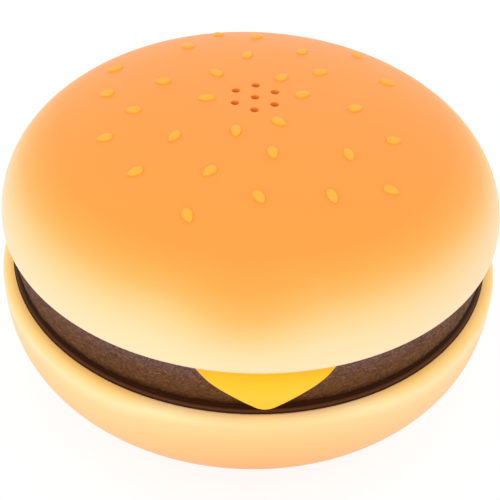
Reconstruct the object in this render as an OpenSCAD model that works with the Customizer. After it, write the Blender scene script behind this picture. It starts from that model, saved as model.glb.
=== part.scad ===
// Hamburger-shaped corded telephone, closed, sitting on its four feet.
// Millimetres. +Z up, front (the cheese corner) towards -Y, hinge at the rear, origin under the
// middle of the phone on the plane its feet stand on.

/* [Lower bun] */
// Widest radius of the lower bun
base_r = 65; // [55:0.5:80]
// Height of the lower bun's widest line
base_widest_z = 32.2; // [25:0.1:40]
// Squareness of the lower bun's side, 2 is an ellipse
base_power = 3.0; // [2:0.01:5]
// Height of the flat underside above the feet
base_floor_z = 2.5; // [1:0.1:5]
// Wall thickness of the lower bun
base_wall = 2.4; // [1.5:0.1:4]
// Radius of the lip the patty comes out of
lip_r = 62.5; // [55:0.1:75]
// Height of that lip
lip_z = 34.4; // [28:0.1:45]

/* [Upper bun] */
// Radius of the upper bun at its rim
lid_r = 63.6; // [55:0.1:80]
// Height of the upper bun's lower edge
lid_z = 48.9; // [40:0.1:60]
// Height of the dome above that edge
lid_h = 30.3; // [20:0.1:45]
// Squareness of the dome, 2 is an ellipse
lid_power = 2.22; // [2:0.01:4]
// Wall thickness of the upper bun
lid_wall = 2.2; // [1.5:0.1:4]
// Diameter of the seven ringer holes
ringer_hole_d = 2; // [1:0.1:4]
// Spacing of the ringer holes
ringer_hole_pitch = 5.5; // [3:0.1:8]

/* [Patty] */
// Radius of the flat top of the patty
deck_r = 57; // [50:0.5:60]
// Height of the flat top of the patty
deck_z = 47.6; // [44:0.1:49]
// Radius of the rounding between its top and its side
deck_edge_r = 3.5; // [1:0.1:6]
// Widest radius of its side
patty_r = 60.9; // [55:0.1:64]
// Wall thickness of the patty
patty_wall = 2; // [1.5:0.1:3]

/* [Cheese] */
// Thickness of the cheese slice
cheese_t = 1.4; // [0.8:0.1:2.5]
// Distance from the middle of the slice to its corners, before they bend down
cheese_reach = 74; // [65:0.5:90]
// Half width of each corner where it bends down
corner_half_w = 14.5; // [10:0.5:22]

/* [Sesame seeds] */
// Length of a seed
seed_l = 4.0; // [3:0.1:7]
// Width of a seed
seed_w = 2.6; // [1.5:0.1:4]
// Height that shows above the bun
seed_proud = 0.85; // [0.4:0.05:1.4]
// Turn of the whole pattern of seeds round the crown
seed_pattern_turn = -4.7; // [-30:0.1:30]

/* [Keys] */
// Width of a dial key
key_w = 12; // [9:0.1:14]
// Depth of a dial key
key_d = 8.6; // [6:0.1:10]
// Spacing of the key columns
key_pitch_x = 16.5; // [14:0.1:20]
// Spacing of the key rows
key_pitch_y = 13; // [11:0.1:16]
// Position of the first row, 1 2 3
key_row_1_y = 24; // [18:0.5:30]
// Height of the key tops
key_top_z = 50.2; // [49:0.1:51]
// Travel of a key
key_travel = 1.2; // [0.5:0.1:2]
// Gap round a key
key_gap = 0.35; // [0.2:0.05:0.8]

/* [Hinge] */
// Distance of the hinge axis behind the middle
hinge_y = 58.5; // [55:0.1:60]
// Height of the hinge axis
hinge_z = 44; // [40:0.1:47]
// Radius of the hinge knuckles
knuckle_r = 3.8; // [3:0.1:5]
// Diameter of the hinge pins
pin_d = 3; // [2:0.1:4]
// Running clearance round the pins, on the radius
pin_clear = 0.05; // [0.02:0.01:0.1]

/* [Rear sockets and switches] */
// Height of the line socket and both switches
rear_z = 19; // [16:0.5:24]
// Distance of each slide switch from the middle
switch_x = 26; // [22:0.5:30]
// Travel of a slide switch
switch_travel = 4; // [2:0.5:5]

/* [Hidden] */
$fn = 64;

// Underside of the patty's top plate, which everything inside hangs from
deck_under_z = deck_z - 2;
// Height of the middle of the rounding round the patty's top
deck_arc_z = deck_z - deck_edge_r;
// Rear pocket of the patty that the hinge sits in
pocket_half_w = 24;
pocket_front_y = 53.5;
pocket_floor_z = 39.5;
// Main board
board_t = 1.6;
board_top_z = 41;
board_under_z = board_top_z - board_t;
board_screw_x = 27.5;
board_screw_y = [-33, 35];
// Screws that join the lower bun to the patty
base_screw_x = 40;
base_screw_y = 18;
base_screw_seat_z = 16;
base_boss_top_z = 22;
// Panel that closes the upper bun
panel_z = 51.2;
panel_t = 2.4;
panel_r = 60.6;
panel_top_z = panel_z + panel_t;
lid_screw_r = 48;
// Ear speaker
ear_y = -26;
ear_d = 36;
gasket_t = 0.8;
// Ringer under the crown
ringer_d = 24.6;
ringer_z = 69.6;
ringer_h = 6;
// Microphone
mic_y = -47;
mic_d = 9.7;
// Hook switch
hook_y = 42;
hook_rise = 2.5;
hook_top_z = panel_z - 0.15;
hook_collar_z = 36.5;
spring_z = 30;
spring_turns = 4;
// Line socket
jack_face_y = 59;
jack_depth = 15.5;
jack_half_w = 7;
jack_half_h = 6;
// Slide switches, set into a thick pad of the lower bun
pad_front_y = 50.5;
switch_floor_y = 53.5;
// Rubber feet
foot_d = 10;
foot_xy = 24;
foot_top_z = 3.2;
// Leads
lead_d = 2;
// Dial keys under their caps
key_flange_top_z = deck_under_z - 0.1;
key_flange_t = 1.4;
small_key_w = 13;
small_key_d = 7;
small_key_x = 12;
small_key_y = -29;

// Seeds, ring by ring outwards from the crown: [distance from the middle, compass angles]
seed_rings = [
    [11.8, [56, 185, 11, -60]],
    [15, [-106, 132]],
    [22, [96, 42, -78]],
    [24.5, [-2, -139, 161]],
    [29.5, [-41, -109, -172, 66]],
    [35, [-18, -87, 122]],
    [37.5, [26, 90, -135, -159, -61, 171]],
    [42, [-109, 151, -41, 50, 105]]
];

// Quarter of a squared-off ellipse, from its widest point to its pole
function quarter(r, h, power, steps = 26) = [
    for (i = [0:steps])
        let (a = 90 * i / steps)
        [r * pow(cos(a), 2 / power), h * pow(sin(a), 2 / power)]
];
function reversed(v) = [for (i = [len(v) - 1:-1:0]) v[i]];
// Height and slope of the dome at a distance from the middle
function dome_z(r) = lid_z + lid_h * pow(1 - pow(r / lid_r, lid_power), 1 / lid_power);
function dome_slope(r) = atan((dome_z(r - 0.05) - dome_z(r + 0.05)) / 0.1);
// Seeds lie roughly away from the crown, each a little askew
function seed_turn(ring, i) = 40 * sin(170 * ring + 17 * i - 15);
// Side and rounded edge of the patty, moved outwards by a thickness
function patty_side(extra) = concat(
    [[60.5 + extra, 35.5], [patty_r + extra, 40]],
    [for (a = [0:15:90])
        [deck_r + (deck_edge_r + extra) * cos(a), deck_arc_z + (deck_edge_r + extra) * sin(a)]]
);

module rounded_rect(w, d, r) {
    square([w - 2 * r, d], center = true);
    square([w, d - 2 * r], center = true);
    for (x = [-1, 1], y = [-1, 1])
        translate([x * (w / 2 - r), y * (d / 2 - r)])
            circle(r);
}

module cylinder_x(d, x0, x1, y, z) {
    translate([x0, y, z])
        rotate([0, 90, 0])
            cylinder(d = d, h = x1 - x0);
}

// Box given by its lower and upper corners
module box(low, high) {
    translate(low)
        cube(high - low);
}

module four_corners(x, y) {
    for (sx = [-1, 1], sy = [-1, 1])
        translate([sx * x, sy * y, 0])
            children();
}

// Round lead through a list of points
module lead(points, d = lead_d) {
    for (i = [0:len(points) - 2]) {
        step = points[i + 1] - points[i];
        length = norm(step);
        translate(points[i])
            rotate([0, acos(step[2] / length), atan2(step[1], step[0])])
                cylinder(d = d, h = length, $fn = 24);
    }
    for (i = [1:1:len(points) - 2])
        translate(points[i])
            sphere(d = d, $fn = 24);
}

// ---- Lower bun ----

module base_outer() {
    side = quarter(base_r, base_widest_z, base_power);
    rotate_extrude($fn = 180)
        polygon(concat(
            [for (p = reversed(side)) if (base_widest_z - p[1] > base_floor_z) [p[0], base_widest_z - p[1]]],
            [for (a = [15:15:90])
                [lip_r + (base_r - lip_r) * cos(a), base_widest_z + (lip_z - base_widest_z) * sin(a)]],
            [[0, lip_z], [0, base_floor_z]],
            [[40, base_floor_z]]
        ));
}

module base_hollow() {
    floor_z = base_floor_z + base_wall;
    side = quarter(base_r - base_wall, base_widest_z - base_wall, base_power);
    rotate_extrude($fn = 180)
        polygon(concat(
            [[0, floor_z], [42, floor_z]],
            [for (p = reversed(side)) if (base_widest_z - p[1] > floor_z) [p[0], base_widest_z - p[1]]],
            [[60.5, lip_z - 1.2], [60.5, lip_z + 1], [0, lip_z + 1]]
        ));
}

module switch_pad(side) {
    intersection() {
        base_outer();
        box([side * switch_x - 7.5, pad_front_y, rear_z - 4.5], [side * switch_x + 7.5, 66, rear_z + 4.5]);
    }
}

module switch_cut(side) {
    middle = side * switch_x;
    box([middle - 6, switch_floor_y, rear_z - 3], [middle + 6, 70, rear_z + 3]);
    box([middle - 3.8, pad_front_y - 1, rear_z - 1.5], [middle + 3.8, switch_floor_y + 1, rear_z + 1.5]);
}

module lower_bun() {
    color("#F2BE7C")
    difference() {
        union() {
            difference() {
                base_outer();
                base_hollow();
            }
            intersection() {
                base_outer();
                four_corners(base_screw_x, base_screw_y)
                    translate([0, 0, base_floor_z])
                        cylinder(d = 9, h = base_boss_top_z - base_floor_z);
            }
            switch_pad(-1);
            switch_pad(1);
            // Ribs that carry the line socket
            intersection() {
                base_outer();
                for (x = [-7, 5])
                    box([x, jack_face_y - jack_depth, 4], [x + 2, 58, rear_z - jack_half_h]);
            }
        }
        four_corners(base_screw_x, base_screw_y) {
            translate([0, 0, -1])
                cylinder(d = 6.2, h = base_screw_seat_z + 1);
            cylinder(d = 3.4, h = 40);
        }
        four_corners(foot_xy, foot_xy)
            translate([0, 0, -1])
                cylinder(d = foot_d, h = foot_top_z + 1);
        switch_cut(-1);
        switch_cut(1);
        box([-jack_half_w, 45, rear_z - jack_half_h], [jack_half_w, 70, rear_z + jack_half_h]);
    }
}

// ---- Patty ----

module patty_outer() {
    rotate_extrude($fn = 180)
        polygon(concat(
            [[0, 31.5], [60.2, 31.5], [60.2, lip_z + 0.2], [61.6, lip_z + 0.2]],
            [[62, lip_z + 0.4], [62, lip_z + 0.7], [61.7, lip_z + 0.95], [60.4, lip_z + 1.05]],
            [[60.4, lip_z + 1.6], [60.55, 37.5], [patty_r, 40]],
            [for (a = [0:15:90])
                [deck_r + deck_edge_r * cos(a), deck_arc_z + deck_edge_r * sin(a)]],
            [[0, deck_z]]
        ));
}

module patty_hollow() {
    inside_r = 60.2 - patty_wall;
    rotate_extrude($fn = 180)
        polygon([[0, 30], [inside_r, 30], [inside_r, deck_arc_z], [deck_r, deck_under_z], [0, deck_under_z]]);
}

// Openings that the keys, microphone and plunger reach through
module face_openings(gap) {
    for (k = dial_keys)
        translate([k[1], k[2], deck_under_z - 1])
            linear_extrude(10)
                rounded_rect(k[3] + 2 * gap, k[4] + 2 * gap, 3);
    for (x = [-3, 0, 3])
        translate([x, mic_y, deck_under_z - 1])
            cylinder(d = 1.4, h = 10, $fn = 24);
    translate([0, hook_y, deck_under_z - 1])
        cylinder(d = 4.4, h = 10);
}

module base_knuckles() {
    for (side = [-1, 1]) {
        x0 = side * 18.5 - 4.5;
        cylinder_x(2 * knuckle_r, x0, x0 + 9, hinge_y, hinge_z);
        box([x0, pocket_front_y - 1, pocket_floor_z - 1], [x0 + 9, hinge_y, hinge_z + knuckle_r]);
    }
}

module patty() {
    color("#5A3418")
    difference() {
        union() {
            difference() {
                union() {
                    difference() {
                        patty_outer();
                        patty_hollow();
                    }
                    intersection() {
                        patty_outer();
                        box([-pocket_half_w - 2, pocket_front_y - 2, pocket_floor_z - 2],
                            [pocket_half_w + 2, 70, deck_z]);
                    }
                }
                box([-pocket_half_w, pocket_front_y, pocket_floor_z], [pocket_half_w, 70, 60]);
            }
            base_knuckles();
            four_corners(base_screw_x, base_screw_y)
                translate([0, 0, base_boss_top_z])
                    cylinder(d = 7, h = deck_z - 1 - base_boss_top_z);
            for (x = [-1, 1], y = board_screw_y)
                translate([x * board_screw_x, y, board_top_z])
                    cylinder(d = 5, h = deck_z - 1 - board_top_z);
        }
        cylinder_x(pin_d, -30, 30, hinge_y, hinge_z);
        face_openings(key_gap);
        four_corners(base_screw_x, base_screw_y)
            translate([0, 0, base_boss_top_z - 1])
                cylinder(d = 3, h = 14);
        for (x = [-1, 1], y = board_screw_y)
            translate([x * board_screw_x, y, board_top_z - 1])
                cylinder(d = 2, h = 5.6);
        // Seats for the bumpers
        for (x = [-1, 1])
            translate([x * 39.2, -39.2, deck_z - 1.2])
                cylinder(d = 2, h = 3, $fn = 32);
        // Way through for the leads to the lid
        translate([-2.4, 50, 42])
            rotate([-90, 0, 0])
                cylinder(d = 2.6, h = 5, $fn = 32);
        // Room in the bead for the cheese corners
        for (a = [0, 90, -90])
            rotate([0, 0, a])
                box([-3.4, -70, lip_z - 1], [3.4, -60.5, lip_z + 1.5]);
    }
}

// ---- Cheese slice ----

module cheese_layer() {
    rotate_extrude($fn = 180)
        polygon(concat(
            [[0, deck_z]],
            reversed(patty_side(0)),
            patty_side(cheese_t),
            [[0, deck_z + cheese_t]]
        ));
}

// A corner of the slice hanging down the side of the patty
module corner_outline() {
    polygon([
        [-corner_half_w, 52], [-corner_half_w, 47.6], [-12, 43.7], [-7.5, 40.6], [-2, 36], [-0.9, 35.5],
        [0.9, 35.5], [2, 36], [7.5, 40.6], [12, 43.7], [corner_half_w, 47.6], [corner_half_w, 52]
    ]);
}

module cheese_slice() {
    side = cheese_reach * sqrt(2);
    color("#FFC62E")
    difference() {
        intersection() {
            cheese_layer();
            union() {
                rotate([0, 0, 45])
                    translate([-side / 2, -side / 2, 46])
                        cube([side, side, 6]);
                for (a = [0, 90, -90])
                    rotate([0, 0, a])
                        rotate([90, 0, 0])
                            linear_extrude(70)
                                corner_outline();
            }
        }
        face_openings(key_gap + 0.15);
        box([-40, pocket_front_y - 0.5, 30], [40, 80, 60]);
    }
}

// ---- Keys ----

// Every key: name, middle x, middle y, width, depth
dial_names = [
    ["key_1", "key_2", "key_3"], ["key_4", "key_5", "key_6"], ["key_7", "key_8", "key_9"],
    ["key_star", "key_0", "key_hash"]
];
dial_keys = concat(
    [for (row = [0:3], column = [0:2])
        [dial_names[row][column], (column - 1) * key_pitch_x, key_row_1_y - row * key_pitch_y, key_w, key_d]],
    [["key_flash", -small_key_x, small_key_y, small_key_w, small_key_d],
     ["key_redial", small_key_x, small_key_y, small_key_w, small_key_d]]
);

module key(k) {
    color("#F6EBD3")
    translate([k[1], k[2], 0]) {
        translate([0, 0, key_flange_top_z - key_flange_t])
            linear_extrude(key_flange_t)
                rounded_rect(k[3] + 2.4, k[4] + 2.4, 3);
        translate([0, 0, key_flange_top_z - 0.5])
            linear_extrude(key_top_z - key_flange_top_z + 0.1)
                rounded_rect(k[3], k[4], 3);
        translate([0, 0, key_top_z - 1])
            linear_extrude(1)
                rounded_rect(k[3] - 0.8, k[4] - 0.8, 2.6);
    }
}

module key_mat() {
    color("#8E9296") {
        translate([0, -3, board_top_z])
            linear_extrude(1)
                rounded_rect(49, 68, 4);
        for (k = dial_keys)
            translate([k[1], k[2], board_top_z + 0.5])
                cylinder(d = 6, h = 1.3);
    }
}

// ---- Electronics in the base ----

module main_board() {
    color("#2E6B3C")
    difference() {
        box([-31, -38, board_under_z], [31, 49.5, board_top_z]);
        translate([0, hook_y, 0])
            cylinder(d = 7.6, h = 60);
        for (x = [-1, 1], y = board_screw_y)
            translate([x * board_screw_x, y, 0])
                cylinder(d = 2.4, h = 60, $fn = 32);
    }
}

module dial_chip() {
    color("#202020")
    box([-9, -8, board_under_z - 3.4], [9, 0, board_under_z]);
}

module capacitors() {
    color("#28407A")
    for (place = [[-16, 14], [-16, 24], [16, 14]])
        translate([place[0], place[1], board_under_z - 11])
            cylinder(d = 7, h = 11);
}

module microphone() {
    color("#B9BCC0")
    translate([0, mic_y, deck_under_z - 6.4])
        cylinder(d = mic_d, h = 6);
}

module mic_boot() {
    color("#2A2A2A")
    translate([0, mic_y, deck_under_z - 7.2])
        difference() {
            cylinder(d = mic_d + 3, h = 7.2);
            translate([0, 0, 0.8])
                cylinder(d = mic_d, h = 10);
            translate([0, 0, -1])
                cylinder(d = 5, h = 5);
        }
}

module line_jack() {
    rear = jack_face_y - jack_depth;
    color("#1E1E1E")
    difference() {
        box([-jack_half_w, rear, rear_z - jack_half_h], [jack_half_w, jack_face_y, rear_z + jack_half_h]);
        box([-4.9, rear + 3.5, rear_z - 3.5], [4.9, 70, rear_z + 3.2]);
        box([-3.2, rear + 6, rear_z - 5], [3.2, 70, rear_z]);
    }
}

module jack_contacts() {
    color("#D9B24A")
    for (i = [-1.5:1:1.5])
        translate([i * 1.02, jack_face_y - jack_depth + 3.6, rear_z + 2.4])
            rotate([-90 - 20, 0, 0])
                cylinder(d = 0.45, h = 7, $fn = 16);
}

module hook_switch() {
    color("#303338")
    difference() {
        box([-6, hook_y - 6, spring_z - 2], [6, hook_y + 6, board_under_z]);
        translate([0, hook_y, spring_z])
            cylinder(d = 7.6, h = 20);
    }
}

module hook_plunger() {
    color("#F6EBD3")
    translate([0, hook_y, 0]) {
        translate([0, 0, spring_z + 2])
            cylinder(d = 3, h = hook_collar_z - spring_z - 1);
        translate([0, 0, hook_collar_z])
            cylinder(d = 7.2, h = 1.5);
        translate([0, 0, hook_collar_z + 1])
            cylinder(d = 4, h = hook_top_z - hook_collar_z - 1);
    }
}

// Round wire wound into an open spring
module hook_spring() {
    wire_r = 0.3;
    coil_r = 2.7;
    rings = 16 * spring_turns;
    sides = 8;
    rise = hook_collar_z - spring_z - 2 * wire_r - 0.1;
    points = [
        for (i = [0:rings], j = [0:sides - 1])
            let (turn = 360 * spring_turns * i / rings, a = 360 * j / sides)
            let (r = coil_r + wire_r * cos(a))
            [r * cos(turn), r * sin(turn), rise * i / rings + wire_r * sin(a)]
    ];
    walls = [
        for (i = [0:rings - 1], j = [0:sides - 1])
            let (k = (j + 1) % sides)
            [i * sides + j, i * sides + k, (i + 1) * sides + k, (i + 1) * sides + j]
    ];
    ends = [
        [for (j = [sides - 1:-1:0]) j],
        [for (j = [0:sides - 1]) rings * sides + j]
    ];
    color("#C8CCD0")
    translate([0, hook_y, spring_z + wire_r])
        polyhedron(points, concat(walls, ends));
}

module slide_switch(side) {
    middle = side * switch_x;
    color("#303338")
    difference() {
        box([middle - 5.5, pad_front_y - 6, rear_z - 3.5], [middle + 5.5, pad_front_y, rear_z + 3.5]);
        box([middle - 3.8, pad_front_y - 4, rear_z - 1.5], [middle + 3.8, pad_front_y + 1, rear_z + 1.5]);
    }
}

module slide_knob(side) {
    middle = side * switch_x - switch_travel / 2;
    color("#5A3418") {
        box([middle - 1.3, pad_front_y - 3.5, rear_z - 1.3], [middle + 1.3, switch_floor_y + 0.5, rear_z + 1.3]);
        box([middle - 2, switch_floor_y + 0.1, rear_z - 2], [middle + 2, switch_floor_y + 1, rear_z + 2]);
        for (x = [-1.4, 0, 1.4])
            box([middle + x - 0.4, switch_floor_y + 0.5, rear_z - 2], [middle + x + 0.4, switch_floor_y + 1.6, rear_z + 2]);
    }
}

module ringer_switch() {
    slide_switch(1);
}

module tone_switch() {
    slide_switch(-1);
}

module ringer_knob() {
    slide_knob(1);
}

module tone_knob() {
    slide_knob(-1);
}

module base_leads() {
    color("#B03A2E") {
        // Through the hinge to the lid
        lead([
            [-10, 44, board_under_z], [-10, 44, 37], [-10, 50.5, 37], [-10, 50.5, 42], [-2.4, 50.5, 42],
            [-2.4, 57, 42], [-2.4, hinge_y, hinge_z], [-0.1, hinge_y, hinge_z]
        ]);
        // From the line socket
        lead([[0, jack_face_y - jack_depth, 17], [0, 30, 17], [0, 30, board_under_z]]);
        // From the microphone
        lead([[0, mic_y, 37.4], [0, -34, 37.4], [0, -34, board_under_z]]);
    }
}

// ---- Fixings of the base ----

module screw(d, h, head_d, head_t) {
    difference() {
        union() {
            cylinder(d = d, h = h, $fn = 32);
            translate([0, 0, -head_t])
                cylinder(d = head_d, h = head_t, $fn = 48);
        }
        for (a = [0, 90])
            rotate([0, 0, a])
                box([-head_d * 0.32, -0.35, -head_t - 1], [head_d * 0.32, 0.35, -head_t * 0.4]);
    }
}

module base_screws() {
    color("#B9BCC0")
    four_corners(base_screw_x, base_screw_y)
        translate([0, 0, base_screw_seat_z])
            screw(3, 18, 5.6, 2);
}

module board_screws() {
    color("#B9BCC0")
    for (x = [-1, 1], y = board_screw_y)
        translate([x * board_screw_x, y, board_under_z])
            screw(2, 5.6, 4, 1.3);
}

module feet() {
    color("#2A2A2A")
    four_corners(foot_xy, foot_xy)
        cylinder(d = foot_d, h = foot_top_z);
}

module lid_bumpers() {
    color("#2A2A2A")
    for (x = [-1, 1])
        translate([x * 39.2, -39.2, deck_z]) {
            cylinder(d = 3, h = panel_z - deck_z - 0.1, $fn = 32);
            translate([0, 0, -1.2])
                cylinder(d = 2, h = 2, $fn = 32);
        }
}

module hinge_pins() {
    color("#B9BCC0") {
        cylinder_x(pin_d, -22.8, -5, hinge_y, hinge_z);
        cylinder_x(pin_d, 5, 22.8, hinge_y, hinge_z);
    }
}

// ---- Lid ----

module lid_outer() {
    rotate_extrude($fn = 180)
        polygon(concat(
            [[0, lid_z], [lid_r - 1, lid_z], [lid_r - 0.3, lid_z + 0.3]],
            [for (p = quarter(lid_r, lid_h, lid_power)) if (p[1] > 0.8) [p[0], lid_z + p[1]]]
        ));
}

module lid_hollow() {
    rotate_extrude($fn = 180)
        polygon(concat(
            [[0, lid_z - 1], [lid_r - lid_wall, lid_z - 1]],
            [for (p = quarter(lid_r - lid_wall, lid_h - lid_wall, lid_power)) [p[0], lid_z + p[1]]]
        ));
}

module at_lid_screws() {
    for (a = [45:90:315])
        rotate([0, 0, a])
            translate([lid_screw_r, 0, 0])
                children();
}

module top_bun() {
    color("#F5B56A")
    difference() {
        union() {
            difference() {
                lid_outer();
                lid_hollow();
            }
            intersection() {
                lid_outer();
                union() {
                    at_lid_screws()
                        translate([0, 0, panel_top_z])
                            cylinder(d = 7, h = 20);
                    translate([0, 0, 72])
                        difference() {
                            cylinder(d = ringer_d + 3.2, h = 6);
                            translate([0, 0, -1])
                                cylinder(d = ringer_d + 0.2, h = 5);
                        }
                }
            }
        }
        translate([0, 0, 60]) {
            cylinder(d = ringer_hole_d, h = 30, $fn = 32);
            for (a = [25:60:325])
                rotate([0, 0, a])
                    translate([ringer_hole_pitch, 0, 0])
                        cylinder(d = ringer_hole_d, h = 30, $fn = 32);
        }
        at_lid_screws()
            translate([0, 0, panel_top_z - 1])
                cylinder(d = 2.6, h = 11, $fn = 32);
    }
}

// Seed lying along X, fatter at one end
module seed() {
    rotate([0, 90, 0])
        rotate_extrude($fn = 24)
            polygon([
                for (i = [0:6])
                    let (a = 30 * i)
                    [seed_w / 2 * sin(a) * (1 + 0.12 * cos(a)), -seed_l / 2 * cos(a)]
            ]);
}

module sesame_seeds() {
    color("#FFC04A")
    for (ring = [0:len(seed_rings) - 1]) {
        r = seed_rings[ring][0];
        angles = seed_rings[ring][1];
        for (i = [0:len(angles) - 1])
            rotate([0, 0, angles[i] + seed_pattern_turn])
                translate([r, 0, dome_z(r)])
                    rotate([0, dome_slope(r), 0])
                        rotate([0, 0, seed_turn(ring, i)])
                            translate([0, 0, seed_proud - seed_w / 2])
                                seed();
    }
}

module grille_holes(d, h) {
    cylinder(d = d, h = h, $fn = 32);
    for (ring = [1, 2], i = [0:6 * ring - 1])
        rotate([0, 0, i * 60 / ring])
            translate([4.5 * ring, 0, 0])
                cylinder(d = d, h = h, $fn = 32);
}

module lid_arms() {
    for (side = [-1, 1]) {
        x0 = side * 9 - 4.5;
        cylinder_x(2 * knuckle_r, x0, x0 + 9, hinge_y, hinge_z);
        box([x0, hinge_y - 3.3, hinge_z], [x0 + 9, hinge_y + 0.4, panel_z + 1]);
    }
}

module earpiece_panel() {
    color("#E9C48E")
    difference() {
        union() {
            translate([0, 0, panel_z])
                cylinder(r = panel_r, h = panel_t, $fn = 180);
            lid_arms();
            translate([0, ear_y, panel_top_z - 1])
                difference() {
                    cylinder(d = ear_d + 4, h = 6);
                    cylinder(d = ear_d + 0.4, h = 20);
                    // Notch for the speaker's lead
                    box([1, 0, 1.5], [3.8, ear_d, 20]);
                }
        }
        cylinder_x(pin_d + 2 * pin_clear, -30, 30, hinge_y, hinge_z);
        translate([0, ear_y, panel_z - 1]) {
            grille_holes(2.2, 10);
            cylinder(d = 26, h = 1.6);
            difference() {
                cylinder(d = 42, h = 1.5);
                translate([0, 0, -1])
                    cylinder(d = 39, h = 5);
            }
        }
        at_lid_screws() {
            translate([0, 0, panel_z - 1])
                cylinder(d = 5.6, h = 2.4);
            translate([0, 0, panel_z])
                cylinder(d = 2.8, h = 10, $fn = 32);
        }
        translate([2.4, 57, panel_z - 1])
            cylinder(d = 2.6, h = 10, $fn = 32);
    }
}

module speaker_gasket() {
    color("#2A2A2A")
    translate([0, ear_y, panel_top_z])
        difference() {
            cylinder(d = ear_d, h = gasket_t);
            translate([0, 0, -1])
                cylinder(d = ear_d - 6, h = 5);
        }
}

module ear_speaker() {
    color("#9A9DA1")
    translate([0, ear_y, panel_top_z + gasket_t]) {
        cylinder(d = ear_d, h = 3);
        cylinder(d = 27, h = 4.5);
        cylinder(d = 20, h = 8.5);
    }
}

module ringer() {
    color("#1E1E1E")
    translate([0, 0, ringer_z])
        difference() {
            cylinder(d = ringer_d, h = ringer_h);
            translate([0, 0, ringer_h - 1.5])
                cylinder(d = 5, h = 5);
        }
}

module lid_screws() {
    color("#B9BCC0")
    at_lid_screws()
        translate([0, 0, panel_z + 1.4])
            screw(2.6, 10, 5, 1.3);
}

module lid_leads() {
    color("#B03A2E") {
        // Out of the hinge and along the panel to the speaker
        lead([[0.1, hinge_y, hinge_z], [2.4, hinge_y, hinge_z], [2.4, 57, 46], [2.4, 57, 56], [2.4, -7.9, 56]]);
        // Up to the ringer
        lead([[5.2, 54, 56], [5.2, 8, 56], [5.2, 8, 69.4]]);
    }
}

module key_1() {
    key(dial_keys[0]);
}

module key_2() {
    key(dial_keys[1]);
}

module key_3() {
    key(dial_keys[2]);
}

module key_4() {
    key(dial_keys[3]);
}

module key_5() {
    key(dial_keys[4]);
}

module key_6() {
    key(dial_keys[5]);
}

module key_7() {
    key(dial_keys[6]);
}

module key_8() {
    key(dial_keys[7]);
}

module key_9() {
    key(dial_keys[8]);
}

module key_star() {
    key(dial_keys[9]);
}

module key_0() {
    key(dial_keys[10]);
}

module key_hash() {
    key(dial_keys[11]);
}

module key_flash() {
    key(dial_keys[12]);
}

module key_redial() {
    key(dial_keys[13]);
}

lower_bun();
patty();
cheese_slice();
key_mat();
main_board();
dial_chip();
capacitors();
microphone();
mic_boot();
line_jack();
jack_contacts();
hook_switch();
hook_spring();
ringer_switch();
tone_switch();
base_screws();
board_screws();
feet();
lid_bumpers();
base_leads();
hinge_pins();
top_bun();
sesame_seeds();
earpiece_panel();
ear_speaker();
speaker_gasket();
ringer();
lid_screws();
lid_leads();
hook_plunger();
ringer_knob();
tone_knob();
key_1();
key_2();
key_3();
key_4();
key_5();
key_6();
key_7();
key_8();
key_9();
key_star();
key_0();
key_hash();
key_flash();
key_redial();
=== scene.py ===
"""Hamburger telephone: detailed shells, materials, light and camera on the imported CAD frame."""

import math

import bmesh
import bpy
import numpy as np
from mathutils import Matrix, Vector, geometry, noise


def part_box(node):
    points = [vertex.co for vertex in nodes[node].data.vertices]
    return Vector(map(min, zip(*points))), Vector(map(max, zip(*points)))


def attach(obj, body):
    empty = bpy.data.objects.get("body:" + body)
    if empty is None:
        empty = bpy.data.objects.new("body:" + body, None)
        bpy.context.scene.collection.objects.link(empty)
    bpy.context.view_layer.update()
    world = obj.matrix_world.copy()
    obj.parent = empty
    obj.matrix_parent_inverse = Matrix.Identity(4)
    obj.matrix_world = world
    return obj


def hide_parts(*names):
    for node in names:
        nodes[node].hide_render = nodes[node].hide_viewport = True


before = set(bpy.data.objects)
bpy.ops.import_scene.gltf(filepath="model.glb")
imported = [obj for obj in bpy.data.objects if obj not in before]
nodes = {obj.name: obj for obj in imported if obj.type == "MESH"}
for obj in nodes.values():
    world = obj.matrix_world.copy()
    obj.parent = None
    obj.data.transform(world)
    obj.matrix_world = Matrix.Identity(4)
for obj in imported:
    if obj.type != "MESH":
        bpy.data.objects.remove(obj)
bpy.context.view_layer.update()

MM = 0.001

# ---- Sizes, from the CAD boxes where they show there, else as part.scad states them ----


def middle_and_size(node):
    """Middle and size of a CAD node's box."""
    low, high = (Vector(corner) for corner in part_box(node))
    return (low + high) / 2, high - low


_, LID_SIZE = middle_and_size("top_bun")
LID_R = LID_SIZE.x / 2
LID_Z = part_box("top_bun")[0][2]
LID_H = LID_SIZE.z
LID_POWER = 2.22
LID_WALL = 2.2 * MM
BASE_R = 65.0 * MM
BASE_WIDEST_Z = 32.2 * MM
BASE_POWER = 3.0
BASE_WALL = 2.4 * MM
BASE_FLOOR_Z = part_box("lower_bun")[0][2]
LIP_R = 62.5 * MM
MOUTH_R = 60.5 * MM
LIP_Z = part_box("lower_bun")[1][2]
DECK_R = 57.0 * MM
DECK_Z = 47.6 * MM
DECK_EDGE_R = 3.5 * MM
CHEESE_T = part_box("cheese_slice")[1][2] - DECK_Z
HOLE_D = 2.0 * MM
HOLE_PITCH = 5.5 * MM
HOLE_TURN = 25
HOLE_EDGE = 0.25 * MM
CROWN_R = 12.0 * MM
POCKET_HALF_W = 24.0 * MM
POCKET_FLOOR_Z = 39.5 * MM
REAR_Z = 19.0 * MM
SWITCH_X = 26.0 * MM
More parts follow.
